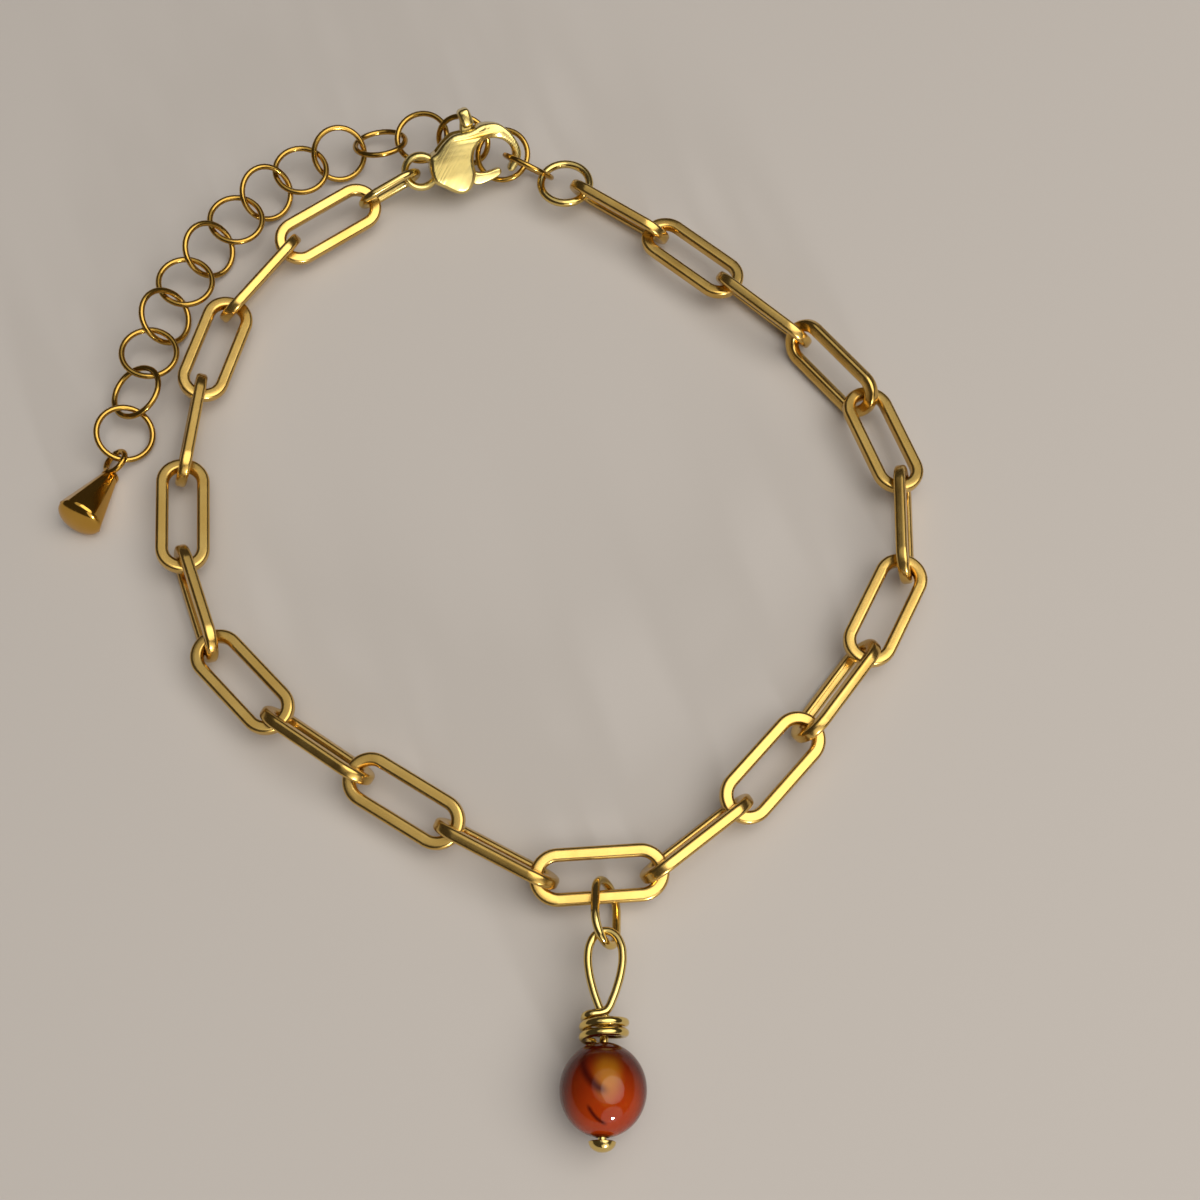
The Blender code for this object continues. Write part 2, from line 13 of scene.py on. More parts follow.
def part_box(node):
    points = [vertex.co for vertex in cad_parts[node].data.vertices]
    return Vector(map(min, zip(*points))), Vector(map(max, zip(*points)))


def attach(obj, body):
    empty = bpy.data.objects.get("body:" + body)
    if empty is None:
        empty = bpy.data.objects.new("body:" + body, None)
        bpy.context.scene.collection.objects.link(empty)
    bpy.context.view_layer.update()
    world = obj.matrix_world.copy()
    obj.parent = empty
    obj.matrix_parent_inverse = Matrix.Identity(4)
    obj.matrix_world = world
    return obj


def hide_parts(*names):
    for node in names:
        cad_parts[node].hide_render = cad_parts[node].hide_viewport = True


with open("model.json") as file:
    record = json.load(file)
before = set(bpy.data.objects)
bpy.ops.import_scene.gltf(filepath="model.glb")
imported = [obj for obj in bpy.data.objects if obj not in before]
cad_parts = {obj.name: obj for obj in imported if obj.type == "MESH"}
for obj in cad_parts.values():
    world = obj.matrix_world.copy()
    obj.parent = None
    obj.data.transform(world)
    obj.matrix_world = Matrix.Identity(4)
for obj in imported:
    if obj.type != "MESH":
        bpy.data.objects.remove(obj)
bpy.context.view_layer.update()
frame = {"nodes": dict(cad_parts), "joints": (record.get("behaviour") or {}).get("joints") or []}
mm = 0.001
print("frame loaded:", len(frame["nodes"]), "solids")

# Points nearer than this to each other become one, in a piece and in a ring before it is copied
pieceWeld = 0.002 * mm
ringWeld = 0.001 * mm


# Small helpers

def hexColour(text):
    # sRGB hex to the linear values that nodes take
    parts = [int(text[k:k + 2], 16) / 255 for k in (1, 3, 5)]
    linear = [p / 12.92 if p <= 0.04045 else ((p + 0.055) / 1.055) ** 2.4 for p in parts]
    return (*linear, 1.0)


def addNode(tree, kind, settings=None, values=None, links=None):
    # one node with its settings, its socket values and what feeds it
    node = tree.nodes.new(kind)
    for name, value in (settings or {}).items():
        setattr(node, name, value)
    for name, value in (values or {}).items():
        node.inputs[name].default_value = value
    for name, source in (links or {}).items():
        tree.links.new(source, node.inputs[name])
    return node


def finishedMesh(piece):
    # the piece as evaluated, as a plain mesh at the origin; the source object goes
    graph = bpy.context.evaluated_depsgraph_get()
    mesh = bpy.data.meshes.new_from_object(piece.evaluated_get(graph))
    mesh.transform(piece.matrix_world)
    name = piece.name
    bpy.data.objects.remove(piece)
    solid = bpy.data.objects.new(name, mesh)
    bpy.context.scene.collection.objects.link(solid)
    return solid


def softenEdges(piece, angle=35, flatWeight=60):
    # smooth faces with crisp flats between them
    mesh = piece.data
    mesh.shade_smooth()
    mesh.set_sharp_from_angle(angle=math.radians(angle))
    weighted = piece.modifiers.new("flatter flats", "WEIGHTED_NORMAL")
    weighted.keep_sharp = True
    weighted.weight = flatWeight
    return finishedMesh(piece)


def outwards(piece):
    # doubles merged and every face turned out
    work = bmesh.new()
    work.from_mesh(piece.data)
    bmesh.ops.remove_doubles(work, verts=work.verts, dist=pieceWeld)
    bmesh.ops.recalc_face_normals(work, faces=work.faces)
    work.to_mesh(piece.data)
    work.free()
    return piece


def dress(piece, material, body, slot, *nodes):
    # material, body and the solids that it stands for; the record's slot is not used
    piece.data.materials.clear()
    piece.data.materials.append(material)
    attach(piece, body)
    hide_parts(*nodes)


# Metals and stone

lineHeight = 0.016 * mm
dentHeight = 0.01 * mm
brushStretch = (0.04, 1.0, 0.04)


def satinMetal(name, look, claspSpace=None):
    # plated metal: a tone that drifts a little, fine lines from drawing or brushing,
    # and small dents that break the highlights
    material = bpy.data.materials.new(name)
    material.use_nodes = True
    tree = material.node_tree
    shader = tree.nodes["Principled BSDF"]
    shader.inputs["Metallic"].default_value = 1.0
    place = addNode(tree, "ShaderNodeTexCoord").outputs["Object"]
    if claspSpace is None:
        across = addNode(tree, "ShaderNodeAttribute", {"attribute_name": "wireAcross"}).outputs["Vector"]
    else:
        axes = {"Location": claspSpace.translation, "Rotation": claspSpace.to_euler()}
        local = addNode(tree, "ShaderNodeMapping", {"vector_type": "TEXTURE"}, axes, {"Vector": place})
        brushTurn = {"Rotation": (0, 0, math.radians(look["brushAngle"]))}
        turned = addNode(tree, "ShaderNodeMapping", {}, brushTurn, {"Vector": local.outputs["Vector"]})
        across = addNode(tree, "ShaderNodeVectorMath", {"operation": "MULTIPLY"}, {1: brushStretch},
                         {0: turned.outputs["Vector"]}).outputs["Vector"]
    drift = addNode(tree, "ShaderNodeTexNoise", {}, {"Scale": 1 / look["drift"], "Detail": 3.0},
                    {"Vector": place})
    tone = addNode(tree, "ShaderNodeMix", {"data_type": "RGBA"}, {}, {"Factor": drift.outputs["Fac"]})
    tone.inputs["A"].default_value = hexColour(look["deep"])
    tone.inputs["B"].default_value = hexColour(look["bright"])
    tree.links.new(tone.outputs["Result"], shader.inputs["Base Color"])
    lines = addNode(tree, "ShaderNodeTexNoise", {},
                    {"Scale": 1 / look["lineWidth"], "Detail": 2.0, "Roughness": 0.6}, {"Vector": across})
    grain = addNode(tree, "ShaderNodeTexNoise", {}, {"Scale": 1 / look["grain"], "Detail": 2.0},
                    {"Vector": place})
    smoothest, roughest = look["roughness"]
    polish = addNode(tree, "ShaderNodeMapRange", {},
                     {"From Min": 0.3, "From Max": 0.7, "To Min": smoothest, "To Max": roughest},
                     {"Value": grain.outputs["Fac"]})
    tree.links.new(polish.outputs["Result"], shader.inputs["Roughness"])
    lineBump = addNode(tree, "ShaderNodeBump", {}, {"Strength": look["lineDepth"], "Distance": lineHeight},
                       {"Height": lines.outputs["Fac"]})
    grainBump = addNode(tree, "ShaderNodeBump", {}, {"Strength": look["grainDepth"], "Distance": dentHeight},
                        {"Height": grain.outputs["Fac"], "Normal": lineBump.outputs["Normal"]})
    tree.links.new(grainBump.outputs["Normal"], shader.inputs["Normal"])
    return material


def veinMark(tree, place, vein):
    # a thin dark sheet in the stone: part of a ball's shell, seen where it meets the surface
    away = addNode(tree, "ShaderNodeVectorMath", {"operation": "DISTANCE"}, {1: vein["centre"]}, {0: place})
    shell = addNode(tree, "ShaderNodeMath", {"operation": "SUBTRACT"}, {1: vein["radius"]},
                    {0: away.outputs["Value"]})
    near = addNode(tree, "ShaderNodeMath", {"operation": "ABSOLUTE"}, {}, {0: shell.outputs[0]})
    line = addNode(tree, "ShaderNodeMapRange", {"interpolation_type": "SMOOTHSTEP"},
                   {"From Min": vein["width"], "From Max": 0.0}, {"Value": near.outputs[0]})
    reach = addNode(tree, "ShaderNodeVectorMath", {"operation": "DISTANCE"}, {1: vein["middle"]}, {0: place})
    darkReach = 0.6 * vein["reach"]
    window = addNode(tree, "ShaderNodeMapRange", {"interpolation_type": "SMOOTHSTEP"},
                     {"From Min": vein["reach"], "From Max": darkReach}, {"Value": reach.outputs["Value"]})
    return addNode(tree, "ShaderNodeMath", {"operation": "MULTIPLY"}, {},
                   {0: line.outputs["Result"], 1: window.outputs["Result"]}).outputs[0]


def clearStone(name, look, stoneSpace):
    # polished carnelian: clear red-orange quartz with dark veins; the amber over the drill hole is a painted
    # glow of light through the stone, and the maroon down its sides, towards the outline seen from the
    # camera, is painted shade
    material = bpy.data.materials.new(name)
    material.use_nodes = True
    tree = material.node_tree
    shader = tree.nodes["Principled BSDF"]
    shader.inputs["Roughness"].default_value = look["roughness"]
    shader.inputs["IOR"].default_value = look["ior"]
    shader.inputs["Specular IOR Level"].default_value = look["shine"]
    shader.inputs["Transmission Weight"].default_value = look["clearness"]
    shader.inputs["Subsurface Weight"].default_value = look["milkiness"]
    shader.inputs["Subsurface Radius"].default_value = look["glowSpread"]
    shader.inputs["Subsurface Scale"].default_value = look["glowDepth"]
    whole = addNode(tree, "ShaderNodeTexCoord").outputs["Object"]
    axes = {"Location": stoneSpace.translation, "Rotation": stoneSpace.to_euler()}
    place = addNode(tree, "ShaderNodeMapping", {"vector_type": "TEXTURE"}, axes,
                    {"Vector": whole}).outputs["Vector"]
    cloud = addNode(tree, "ShaderNodeTexNoise", {}, {"Scale": 1 / look["cloudSize"], "Detail": 2.0},
                    {"Vector": place})
    colour = addNode(tree, "ShaderNodeMix", {"data_type": "RGBA"}, {}, {"Factor": cloud.outputs["Fac"]})
    colour.inputs["A"].default_value = hexColour(look["deep"])
    colour.inputs["B"].default_value = hexColour(look["bright"])
    # painted shade: maroon as points lie less far along the face direction, close to the camera's way, so the
    # outline darkens
    rise = addNode(tree, "ShaderNodeVectorMath", {"operation": "DOT_PRODUCT"}, {1: look["face"]}, {0: place})
    rimEdge, rimStart = look["rimShadeRun"]
    side = addNode(tree, "ShaderNodeMapRange", {"interpolation_type": "SMOOTHSTEP"},
                   {"From Min": rimStart, "From Max": rimEdge}, {"Value": rise.outputs["Value"]})
    # painted glow: amber in a patch near the top over the drill hole, standing in for light through the stone
    offset = addNode(tree, "ShaderNodeVectorMath", {"operation": "SUBTRACT"}, {1: look["paintedGlowMiddle"]},
                     {0: place})
    spread = addNode(tree, "ShaderNodeVectorMath", {"operation": "DIVIDE"}, {1: look["paintedGlowSize"]},
                     {0: offset.outputs["Vector"]})
    reach = addNode(tree, "ShaderNodeVectorMath", {"operation": "LENGTH"}, {}, {0: spread.outputs["Vector"]})
    paintedGlow = addNode(tree, "ShaderNodeMapRange", {"interpolation_type": "SMOOTHSTEP"},
                   {"From Min": 1.0, "From Max": 0.2, "To Max": 0.85}, {"Value": reach.outputs["Value"]})
    layers = [(paintedGlow.outputs["Result"], look["paintedGlow"]), (side.outputs["Result"], look["rim"])]
    layers += [(veinMark(tree, place, vein), look["vein"]) for vein in look["veins"]]
    for factor, tone in layers:
        under = colour.outputs["Result"]
        colour = addNode(tree, "ShaderNodeMix", {"data_type": "RGBA"}, {}, {"Factor": factor, "A": under})
        colour.inputs["B"].default_value = hexColour(tone)
    tree.links.new(colour.outputs["Result"], shader.inputs["Base Color"])
    return material


# The clasp's own axes come from its hinge: X runs from the eye to the hook, Z is the broad face's normal
hinge = frame["joints"][0]
claspPivot = Vector(hinge["pos_m"])
claspNormal = Vector(hinge["axis"])
claspAlong = Vector((0, 0, 1)).cross(claspNormal).normalized()
claspAcross = claspNormal.cross(claspAlong)
pivotOnClasp = (3.5 * mm, 0.2 * mm)
claspSpace = Matrix((claspAlong, claspAcross, claspNormal)).transposed().to_4x4()
claspSpace.translation = claspPivot - claspAlong * pivotOnClasp[0] - claspAcross * pivotOnClasp[1]

# Gold-plated stainless steel, tumbled: warm, with lines along the drawn wire
platedSteel = satinMetal("satin gold-plated steel", {
    "deep": "#C39A4A", "bright": "#E6C577", "drift": 3.0 * mm, "lineWidth": 0.2 * mm, "lineDepth": 0.3,
    "grain": 1.2 * mm, "grainDepth": 0.3, "roughness": (0.2, 0.27),
})
# The same plate on thin wire, its colour painted darker as shade, with sharper highlights
platedWire = satinMetal("gold-plated steel wire", {
    "deep": "#A8823A", "bright": "#CDA650", "drift": 2.0 * mm, "lineWidth": 0.2 * mm, "lineDepth": 0.2,
    "grain": 1.2 * mm, "grainDepth": 0.3, "roughness": (0.14, 0.2),
})
# Pale gold-plated brass wire, drawn and left bright: yellow, smooth highlights
paleWire = satinMetal("pale gold-plated brass wire", {
    "deep": "#D0B05C", "bright": "#EAD28A", "drift": 3.0 * mm, "lineWidth": 0.3 * mm, "lineDepth": 0.12,
    "grain": 1.5 * mm, "grainDepth": 0.3, "roughness": (0.12, 0.18),
})
# Cast brass with pale gold plate, brushed on its broad faces: fine lines, wider than real so that they show
brushedBrass = satinMetal("brushed pale gold-plated brass", {
    "deep": "#D6BC6E", "bright": "#EEDC94", "drift": 3.0 * mm, "lineWidth": 0.13 * mm, "lineDepth": 1.0,
    "grain": 1.5 * mm, "grainDepth": 0.3, "roughness": (0.2, 0.26), "brushAngle": -50,
}, claspSpace)
# Turned and polished gold-plated brass: mirror facets
polishedDrop = satinMetal("polished gold-plated brass", {
    "deep": "#B98C38", "bright": "#D9AC50", "drift": 4.0 * mm, "lineWidth": 0.4 * mm, "lineDepth": 0.05,
    "grain": 1.5 * mm, "grainDepth": 0.2, "roughness": (0.1, 0.15),
})


# Links and rings: one tree bends a shaped wire round a stadium and sets a copy on each point

def ringTree():
    nearlyHalf = 0.4999
    tree = bpy.data.node_groups.new("shaped wire rings", "GeometryNodeTree")
    tree.interface.new_socket(name="Geometry", in_out="INPUT", socket_type="NodeSocketGeometry")
    for label in ("Length", "Width", "Wire Width", "Wire Height", "Wire Corner"):
        tree.interface.new_socket(name=label, in_out="INPUT", socket_type="NodeSocketFloat")
    for label in ("End Steps", "Corner Steps"):
        tree.interface.new_socket(name=label, in_out="INPUT", socket_type="NodeSocketInt")
    tree.interface.new_socket(name="Material", in_out="INPUT", socket_type="NodeSocketMaterial")
    tree.interface.new_socket(name="Geometry", in_out="OUTPUT", socket_type="NodeSocketGeometry")
    given = addNode(tree, "NodeGroupInput").outputs
    pathLength = addNode(tree, "ShaderNodeMath", {"operation": "SUBTRACT"}, {},
                         {0: given["Length"], 1: given["Wire Width"]})
    pathWidth = addNode(tree, "ShaderNodeMath", {"operation": "SUBTRACT"}, {},
                        {0: given["Width"], 1: given["Wire Width"]})
    endRadius = addNode(tree, "ShaderNodeMath", {"operation": "MULTIPLY"}, {1: nearlyHalf},
                        {0: pathWidth.outputs[0]})
    box = addNode(tree, "GeometryNodeCurvePrimitiveQuadrilateral", {}, {},
                  {"Width": pathLength.outputs[0], "Height": pathWidth.outputs[0]})
    path = addNode(tree, "GeometryNodeFilletCurve", {"mode": "POLY"}, {},
                   {"Curve": box.outputs["Curve"], "Radius": endRadius.outputs[0],
                    "Count": given["End Steps"]})
    level = addNode(tree, "GeometryNodeSetCurveNormal", {"mode": "Z_UP"}, {},
                    {"Curve": path.outputs["Curve"]})
    section = addNode(tree, "GeometryNodeCurvePrimitiveQuadrilateral", {}, {},
                      {"Width": given["Wire Width"], "Height": given["Wire Height"]})
    rounded = addNode(tree, "GeometryNodeFilletCurve", {"mode": "POLY"}, {},
                      {"Curve": section.outputs["Curve"], "Radius": given["Wire Corner"],
                       "Count": given["Corner Steps"]})
    spot = addNode(tree, "GeometryNodeInputPosition")
    kept = addNode(tree, "GeometryNodeCaptureAttribute")
    kept.capture_items.new("VECTOR", "Across")
    tree.links.new(rounded.outputs["Curve"], kept.inputs["Geometry"])
    tree.links.new(spot.outputs["Position"], kept.inputs["Across"])
    wire = addNode(tree, "GeometryNodeCurveToMesh", {}, {},
                   {"Curve": level.outputs["Curve"], "Profile Curve": kept.outputs["Geometry"]})
    named = addNode(tree, "GeometryNodeStoreNamedAttribute", {"data_type": "FLOAT_VECTOR", "domain": "POINT"},
                    {"Name": "wireAcross"},
                    {"Geometry": wire.outputs["Mesh"], "Value": kept.outputs["Across"]})
    merged = addNode(tree, "GeometryNodeMergeByDistance", {}, {"Distance": ringWeld},
                     {"Geometry": named.outputs["Geometry"]})
    turn = addNode(tree, "GeometryNodeInputNamedAttribute", {"data_type": "QUATERNION"}, {"Name": "turn"})
    copies = addNode(tree, "GeometryNodeInstanceOnPoints", {}, {},
                     {"Points": given["Geometry"], "Instance": merged.outputs["Geometry"],
                      "Rotation": turn.outputs["Attribute"]})
    real = addNode(tree, "GeometryNodeRealizeInstances", {}, {}, {"Geometry": copies.outputs["Instances"]})
    shown = addNode(tree, "GeometryNodeSetMaterial", {}, {},
                    {"Geometry": real.outputs["Geometry"], "Material": given["Material"]})
    addNode(tree, "NodeGroupOutput", {}, {}, {"Geometry": shown.outputs["Geometry"]})
    return tree


def placeOfNode(name):
    # centre and turn of a link or ring, from its solid: longest way X, thinnest way Z
    mesh = frame["nodes"][name].data
    spots = np.array([v.co for v in mesh.vertices])
    spread = np.unique(np.round(spots, 7), axis=0)
    centre = spread.mean(0)
    ways = np.linalg.eigh(np.cov((spread - centre).T))[1]
    along, normal = Vector(ways[:, 2]), Vector(ways[:, 0])
    along *= math.copysign(1, along.y)
    normal *= math.copysign(1, normal.z)
    turn = Matrix((along, normal.cross(along), normal)).transposed()
    return Vector(centre), turn.to_quaternion()


rings = ringTree()


def wireRings(name, names, size, material, slot):
    # one piece for all the links or rings named, each at its solid's place, leant about its length
    places = [placeOfNode(n) for n in names]
    lean = Matrix.Rotation(math.radians(size.get("lean", 0)), 3, "X").to_quaternion()
    mesh = bpy.data.meshes.new(name)
    mesh.from_pydata([p for p, turn in places], [], [])
    turns = mesh.attributes.new("turn", "QUATERNION", "POINT")
    for k, (p, turn) in enumerate(places):
        turns.data[k].value = turn @ lean
    piece = bpy.data.objects.new(name, mesh)
    bpy.context.scene.collection.objects.link(piece)
    change = piece.modifiers.new("wire", "NODES")
    change.node_group = rings
    sizes = {
        "Length": size["length"], "Width": size["width"], "Wire Width": size["wireWidth"],
        "Wire Height": size["wireHeight"], "Wire Corner": size["wireCorner"],
        "End Steps": size["endSteps"], "Corner Steps": size["cornerSteps"], "Material": material,
    }
    for item in rings.interface.items_tree:
        if item.in_out == "INPUT" and item.name in sizes:
            change[item.identifier] = sizes[item.name]
    piece = outwards(finishedMesh(piece))
    piece = softenEdges(piece)
    dress(piece, material, "bracelet", slot, *names)
    print(name, "made:", len(names), "of", len(piece.data.polygons) // len(names), "faces")


# Paperclip links are stamped a little flat; the rings are round wire, the charm's leant as it hangs
paperclipLink = {
    "length": 10.2 * mm, "width": 4.2 * mm, "wireWidth": 1.0 * mm, "wireHeight": 0.92 * mm,
    "wireCorner": 0.29 * mm, "endSteps": 12, "cornerSteps": 5,
}
extensionRing = {
    "length": 5.0 * mm, "width": 5.0 * mm, "wireWidth": 0.5 * mm, "wireHeight": 0.5 * mm,
    "wireCorner": 0.2499 * mm, "endSteps": 10, "cornerSteps": 3,
}
jumpRing = {
    "length": 5.0 * mm, "width": 5.0 * mm, "wireWidth": 0.7 * mm, "wireHeight": 0.7 * mm,
    "wireCorner": 0.3499 * mm, "endSteps": 12, "cornerSteps": 3,
}
claspRing = {**jumpRing, "length": 6.2 * mm, "width": 3.9 * mm}
charmRing = {
    "length": 5.6 * mm, "width": 3.9 * mm, "wireWidth": 0.62 * mm, "wireHeight": 0.6 * mm,
    "wireCorner": 0.27 * mm, "endSteps": 12, "cornerSteps": 4, "lean": -42,
}
linkNames = sorted(n for n in frame["nodes"] if n.startswith("link_"))
ringNames = sorted(n for n in frame["nodes"] if n.startswith("ext_ring_"))
wireRings("chainLinks", linkNames, paperclipLink, platedSteel, "gold_plated_steel")
wireRings("extensionRings", ringNames, extensionRing, platedWire, "gold_plated_steel")
wireRings("jumpRing", ["jump_ring"], jumpRing, paleWire, "gold_plated_steel")
wireRings("claspRing", ["clasp_ring"], claspRing, paleWire, "gold_plated_steel")
wireRings("charmRing", ["charm_ring"], charmRing, paleWire, "pale_gold_brass")


# Clasp: outlines, runs and places in mm from the eye's middle, seen on the broad face

clasp = {
    "thickness": 2.6 * mm, "hookThickness": 1.25 * mm, "edge": 0.4 * mm, "taperRun": (5.0, 7.4),
    "slot": 1.4 * mm, "slotRun": (1.55, 5.4), "slotReach": 12 * mm, "slotEdge": 0.1 * mm,
    "eyeRing": 1.375 * mm, "eyeWire": (0.33 * mm, 0.55 * mm), "pin": 0.7 * mm, "pinInset": 0.2 * mm,
    "leverThickness": 0.9 * mm, "leverEdge": 0.16 * mm, "bearing": 0.9 * mm, "bearingLength": 4 * mm,
    "knob": (1.1 * mm, 1.6 * mm, 1.7 * mm), "knobPlace": (4.72, 3.78), "knobTurn": 12,
    "knobEdge": 0.35 * mm, "steps": 6,
    "outline": [
        (0.9, -0.9), (1.8, -1.7), (2.8, -2.35), (3.6, -2.4), (4.3, -1.85), (4.7, -0.9), (4.7, 0.1),
        (5.1, 1.2), (6.2, 1.75), (7.5, 1.45), (8.2, 0.6), (8.2, -0.3), (7.75, -0.9), (7.65, -1.3),
        (8.1, -1.4), (8.75, -0.7), (9.0, 0.3), (8.5, 1.7), (7.5, 2.75), (6.2, 3.05), (5.2, 2.85),
        (4.4, 2.72), (3.3, 2.65), (2.4, 2.15), (1.6, 1.45), (0.9, 0.9),
    ],
    "lever": [
        (2.5, 0.2), (2.7, -0.7), (3.5, -1.2), (4.6, -2.0), (5.6, -1.95), (6.7, -1.62), (7.0, -1.3),
        (6.8, -0.95), (5.7, -1.1), (4.8, -0.9), (4.5, 0.0), (4.7, 1.2), (5.1, 2.6), (5.15, 3.6),
        (4.6, 3.9), (4.2, 3.5), (3.9, 2.0), (3.3, 1.2), (2.7, 0.9),
    ],
}


def smoothThrough(points, steps):
    # a closed smooth outline through chosen points
    corners = [Vector((x, y, 0)) * mm for x, y in points]
    count = len(corners)
    outline = []
    for k in range(count * steps):
        index, part = divmod(k, steps)
        t = part / steps
        a, b, c, d = (corners[(index + shift) % count] for shift in (-1, 0, 1, 2))
        bend = 2 * b + (c - a) * t + (2 * a - 5 * b + 4 * c - d) * t * t
        outline.append(0.5 * (bend + (3 * b - a - 3 * c + d) * t ** 3))
    return outline


def roundedPlate(name, outline, thickness, edge):
    # a flat outline with rounded rims
    curve = bpy.data.curves.new(name, "CURVE")
    curve.dimensions = "2D"
    curve.fill_mode = "BOTH"
    curve.extrude = 0.5 * thickness - edge
    curve.bevel_depth = edge
    curve.bevel_resolution = 3
    curve.offset = -edge
    spline = curve.splines.new("POLY")
    spline.points.add(len(outline) - 1)
    for point, spot in zip(spline.points, outline):
        point.co = (spot.x, spot.y, 0, 1)
    spline.use_cyclic_u = True
    piece = bpy.data.objects.new(name, curve)
    bpy.context.scene.collection.objects.link(piece)
    return outwards(finishedMesh(piece))


def shapeObject(name, work):
    # a bmesh as an object with its faces out
    bmesh.ops.recalc_face_normals(work, faces=work.faces)
    mesh = bpy.data.meshes.new(name)
    work.to_mesh(mesh)
    work.free()
    piece = bpy.data.objects.new(name, mesh)
    bpy.context.scene.collection.objects.link(piece)
    return piece


def rod(name, radius, depth, x, y, sides=32):
    # a round bar along Z
    work = bmesh.new()
    bmesh.ops.create_cone(work, cap_ends=True, segments=sides, radius1=radius, radius2=radius, depth=depth,
                          matrix=Matrix.Translation((x, y, 0)))
    return shapeObject(name, work)


def roundedBox(name, size, edge, matrix):
    work = bmesh.new()
    bmesh.ops.create_cube(work, size=1.0, matrix=Matrix.Diagonal((*size, 1.0)))
    bmesh.ops.bevel(work, geom=work.edges[:], offset=edge, segments=3, affect="EDGES", profile=0.5)
    work.transform(matrix)
    return shapeObject(name, work)


def ringOfWire(name, radius, across, high, matrix, count=40, sides=16):
    # a torus with an oval section
    work = bmesh.new()
    loops = []
    for i in range(count):
        a = 2 * math.pi * i / count
        loop = []
        for j in range(sides):
            b = 2 * math.pi * j / sides
            reach = radius + across * math.cos(b)
            spot = Vector((reach * math.cos(a), reach * math.sin(a), high * math.sin(b)))
            loop.append(work.verts.new(matrix @ spot))
        loops.append(loop)
    for i in range(count):
        for j in range(sides):
            near, far = loops[i], loops[(i + 1) % count]
            work.faces.new((near[j], near[(j + 1) % sides], far[(j + 1) % sides], far[j]))
    return shapeObject(name, work)


def combine(target, *changes):
    # booleans in order, then a plain mesh; the tools go
    for operation, tool in changes:
        change = target.modifiers.new(operation.lower(), "BOOLEAN")
        change.operation = operation
        change.solver = "EXACT"
        change.object = tool
    target = finishedMesh(target)
    for operation, tool in changes:
        bpy.data.objects.remove(tool)
    return target


def makeClaspBody():
    # cheeks and hook from one plate that thins towards the hook, slotted for the lever, with its pin and eye
    outline = smoothThrough(clasp["outline"], clasp["steps"])
    body = roundedPlate("claspBody", outline, clasp["thickness"], clasp["edge"])
    start, end = clasp["taperRun"]
    thin = clasp["hookThickness"] / clasp["thickness"]
    for vertex in body.data.vertices:
        share = min(1.0, max(0.0, (vertex.co.x / mm - start) / (end - start)))
        share = share * share * (3 - 2 * share)
        vertex.co.z *= 1 + (thin - 1) * share
    near, far = clasp["slotRun"]
    slot = roundedBox("slot", ((far - near) * mm, clasp["slotReach"], clasp["slot"]), clasp["slotEdge"],
                      Matrix.Translation((0.5 * (near + far) * mm, 0, 0)))
    pin = rod("pin", 0.5 * clasp["pin"], clasp["thickness"] - clasp["pinInset"], *pivotOnClasp)
    eye = ringOfWire("eye", clasp["eyeRing"], *clasp["eyeWire"], Matrix.Identity(4))
    body = combine(body, ("DIFFERENCE", slot), ("UNION", pin), ("UNION", eye))
    body.data.transform(claspSpace)
    body = softenEdges(body)
    dress(body, brushedBrass, "bracelet", "pale_gold_brass", "clasp_body")


def makeClaspLever():
    # the rocker: its gate below the pin and its thumb knob above
    outline = smoothThrough(clasp["lever"], clasp["steps"])
    lever = roundedPlate("claspLever", outline, clasp["leverThickness"], clasp["leverEdge"])
    x, y = clasp["knobPlace"]
    turn = Matrix.Rotation(math.radians(clasp["knobTurn"]), 4, "Z")
    knob = roundedBox("knob", clasp["knob"], clasp["knobEdge"],
                      Matrix.Translation((x * mm, y * mm, 0)) @ turn)
    bearing = rod("bearing", 0.5 * clasp["bearing"], clasp["bearingLength"], *pivotOnClasp)
    lever = combine(lever, ("UNION", knob), ("DIFFERENCE", bearing))
    lever.data.transform(claspSpace)
    lever = softenEdges(lever)
    dress(lever, brushedBrass, "lever", "pale_gold_brass", "clasp_lever")


makeClaspBody()
makeClaspLever()
print("clasp made")


# Charm: one wire makes the loop, the wraps and the pin through the bead.
# neckShare and bulge are shares of the loop's half width, crossing and wrapStart of the wire's thickness;
# wrapOpening is the wraps' first share of their radius and its growth at each step

charm = {
    "heading": -91, "gap": 0.2 * mm, "wire": 0.6 * mm,
    "beadLength": 6.3 * mm, "beadWidth": 6.0 * mm, "beadMiddle": 10.472 * mm, "hole": 0.98 * mm,
    "loopLength": 5.9 * mm, "loopWidth": 3.1 * mm, "loopSteps": 16,
    "neckShare": 0.5, "bulge": 0.8, "crossing": 0.75,
    "wraps": 2.5, "wrapWidth": 3.5 * mm, "wrapPitch": 0.7 * mm, "turnSteps": 12,
    "wrapStart": 0.2, "wrapOpening": (0.62, 0.1),
    "headWidth": 1.9 * mm, "headHeight": 0.75 * mm, "headHold": 0.3, "headSides": 28,
}
low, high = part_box("birthstone")
beadCentre = (low + high) / 2
charmTurn = Matrix.Rotation(math.radians(charm["heading"]), 4, "Z")
charmSpace = Matrix.Translation(beadCentre) @ charmTurn @ Matrix.Translation((-charm["beadMiddle"], 0, 0))
stoneSpace = Matrix.Translation(beadCentre) @ charmTurn

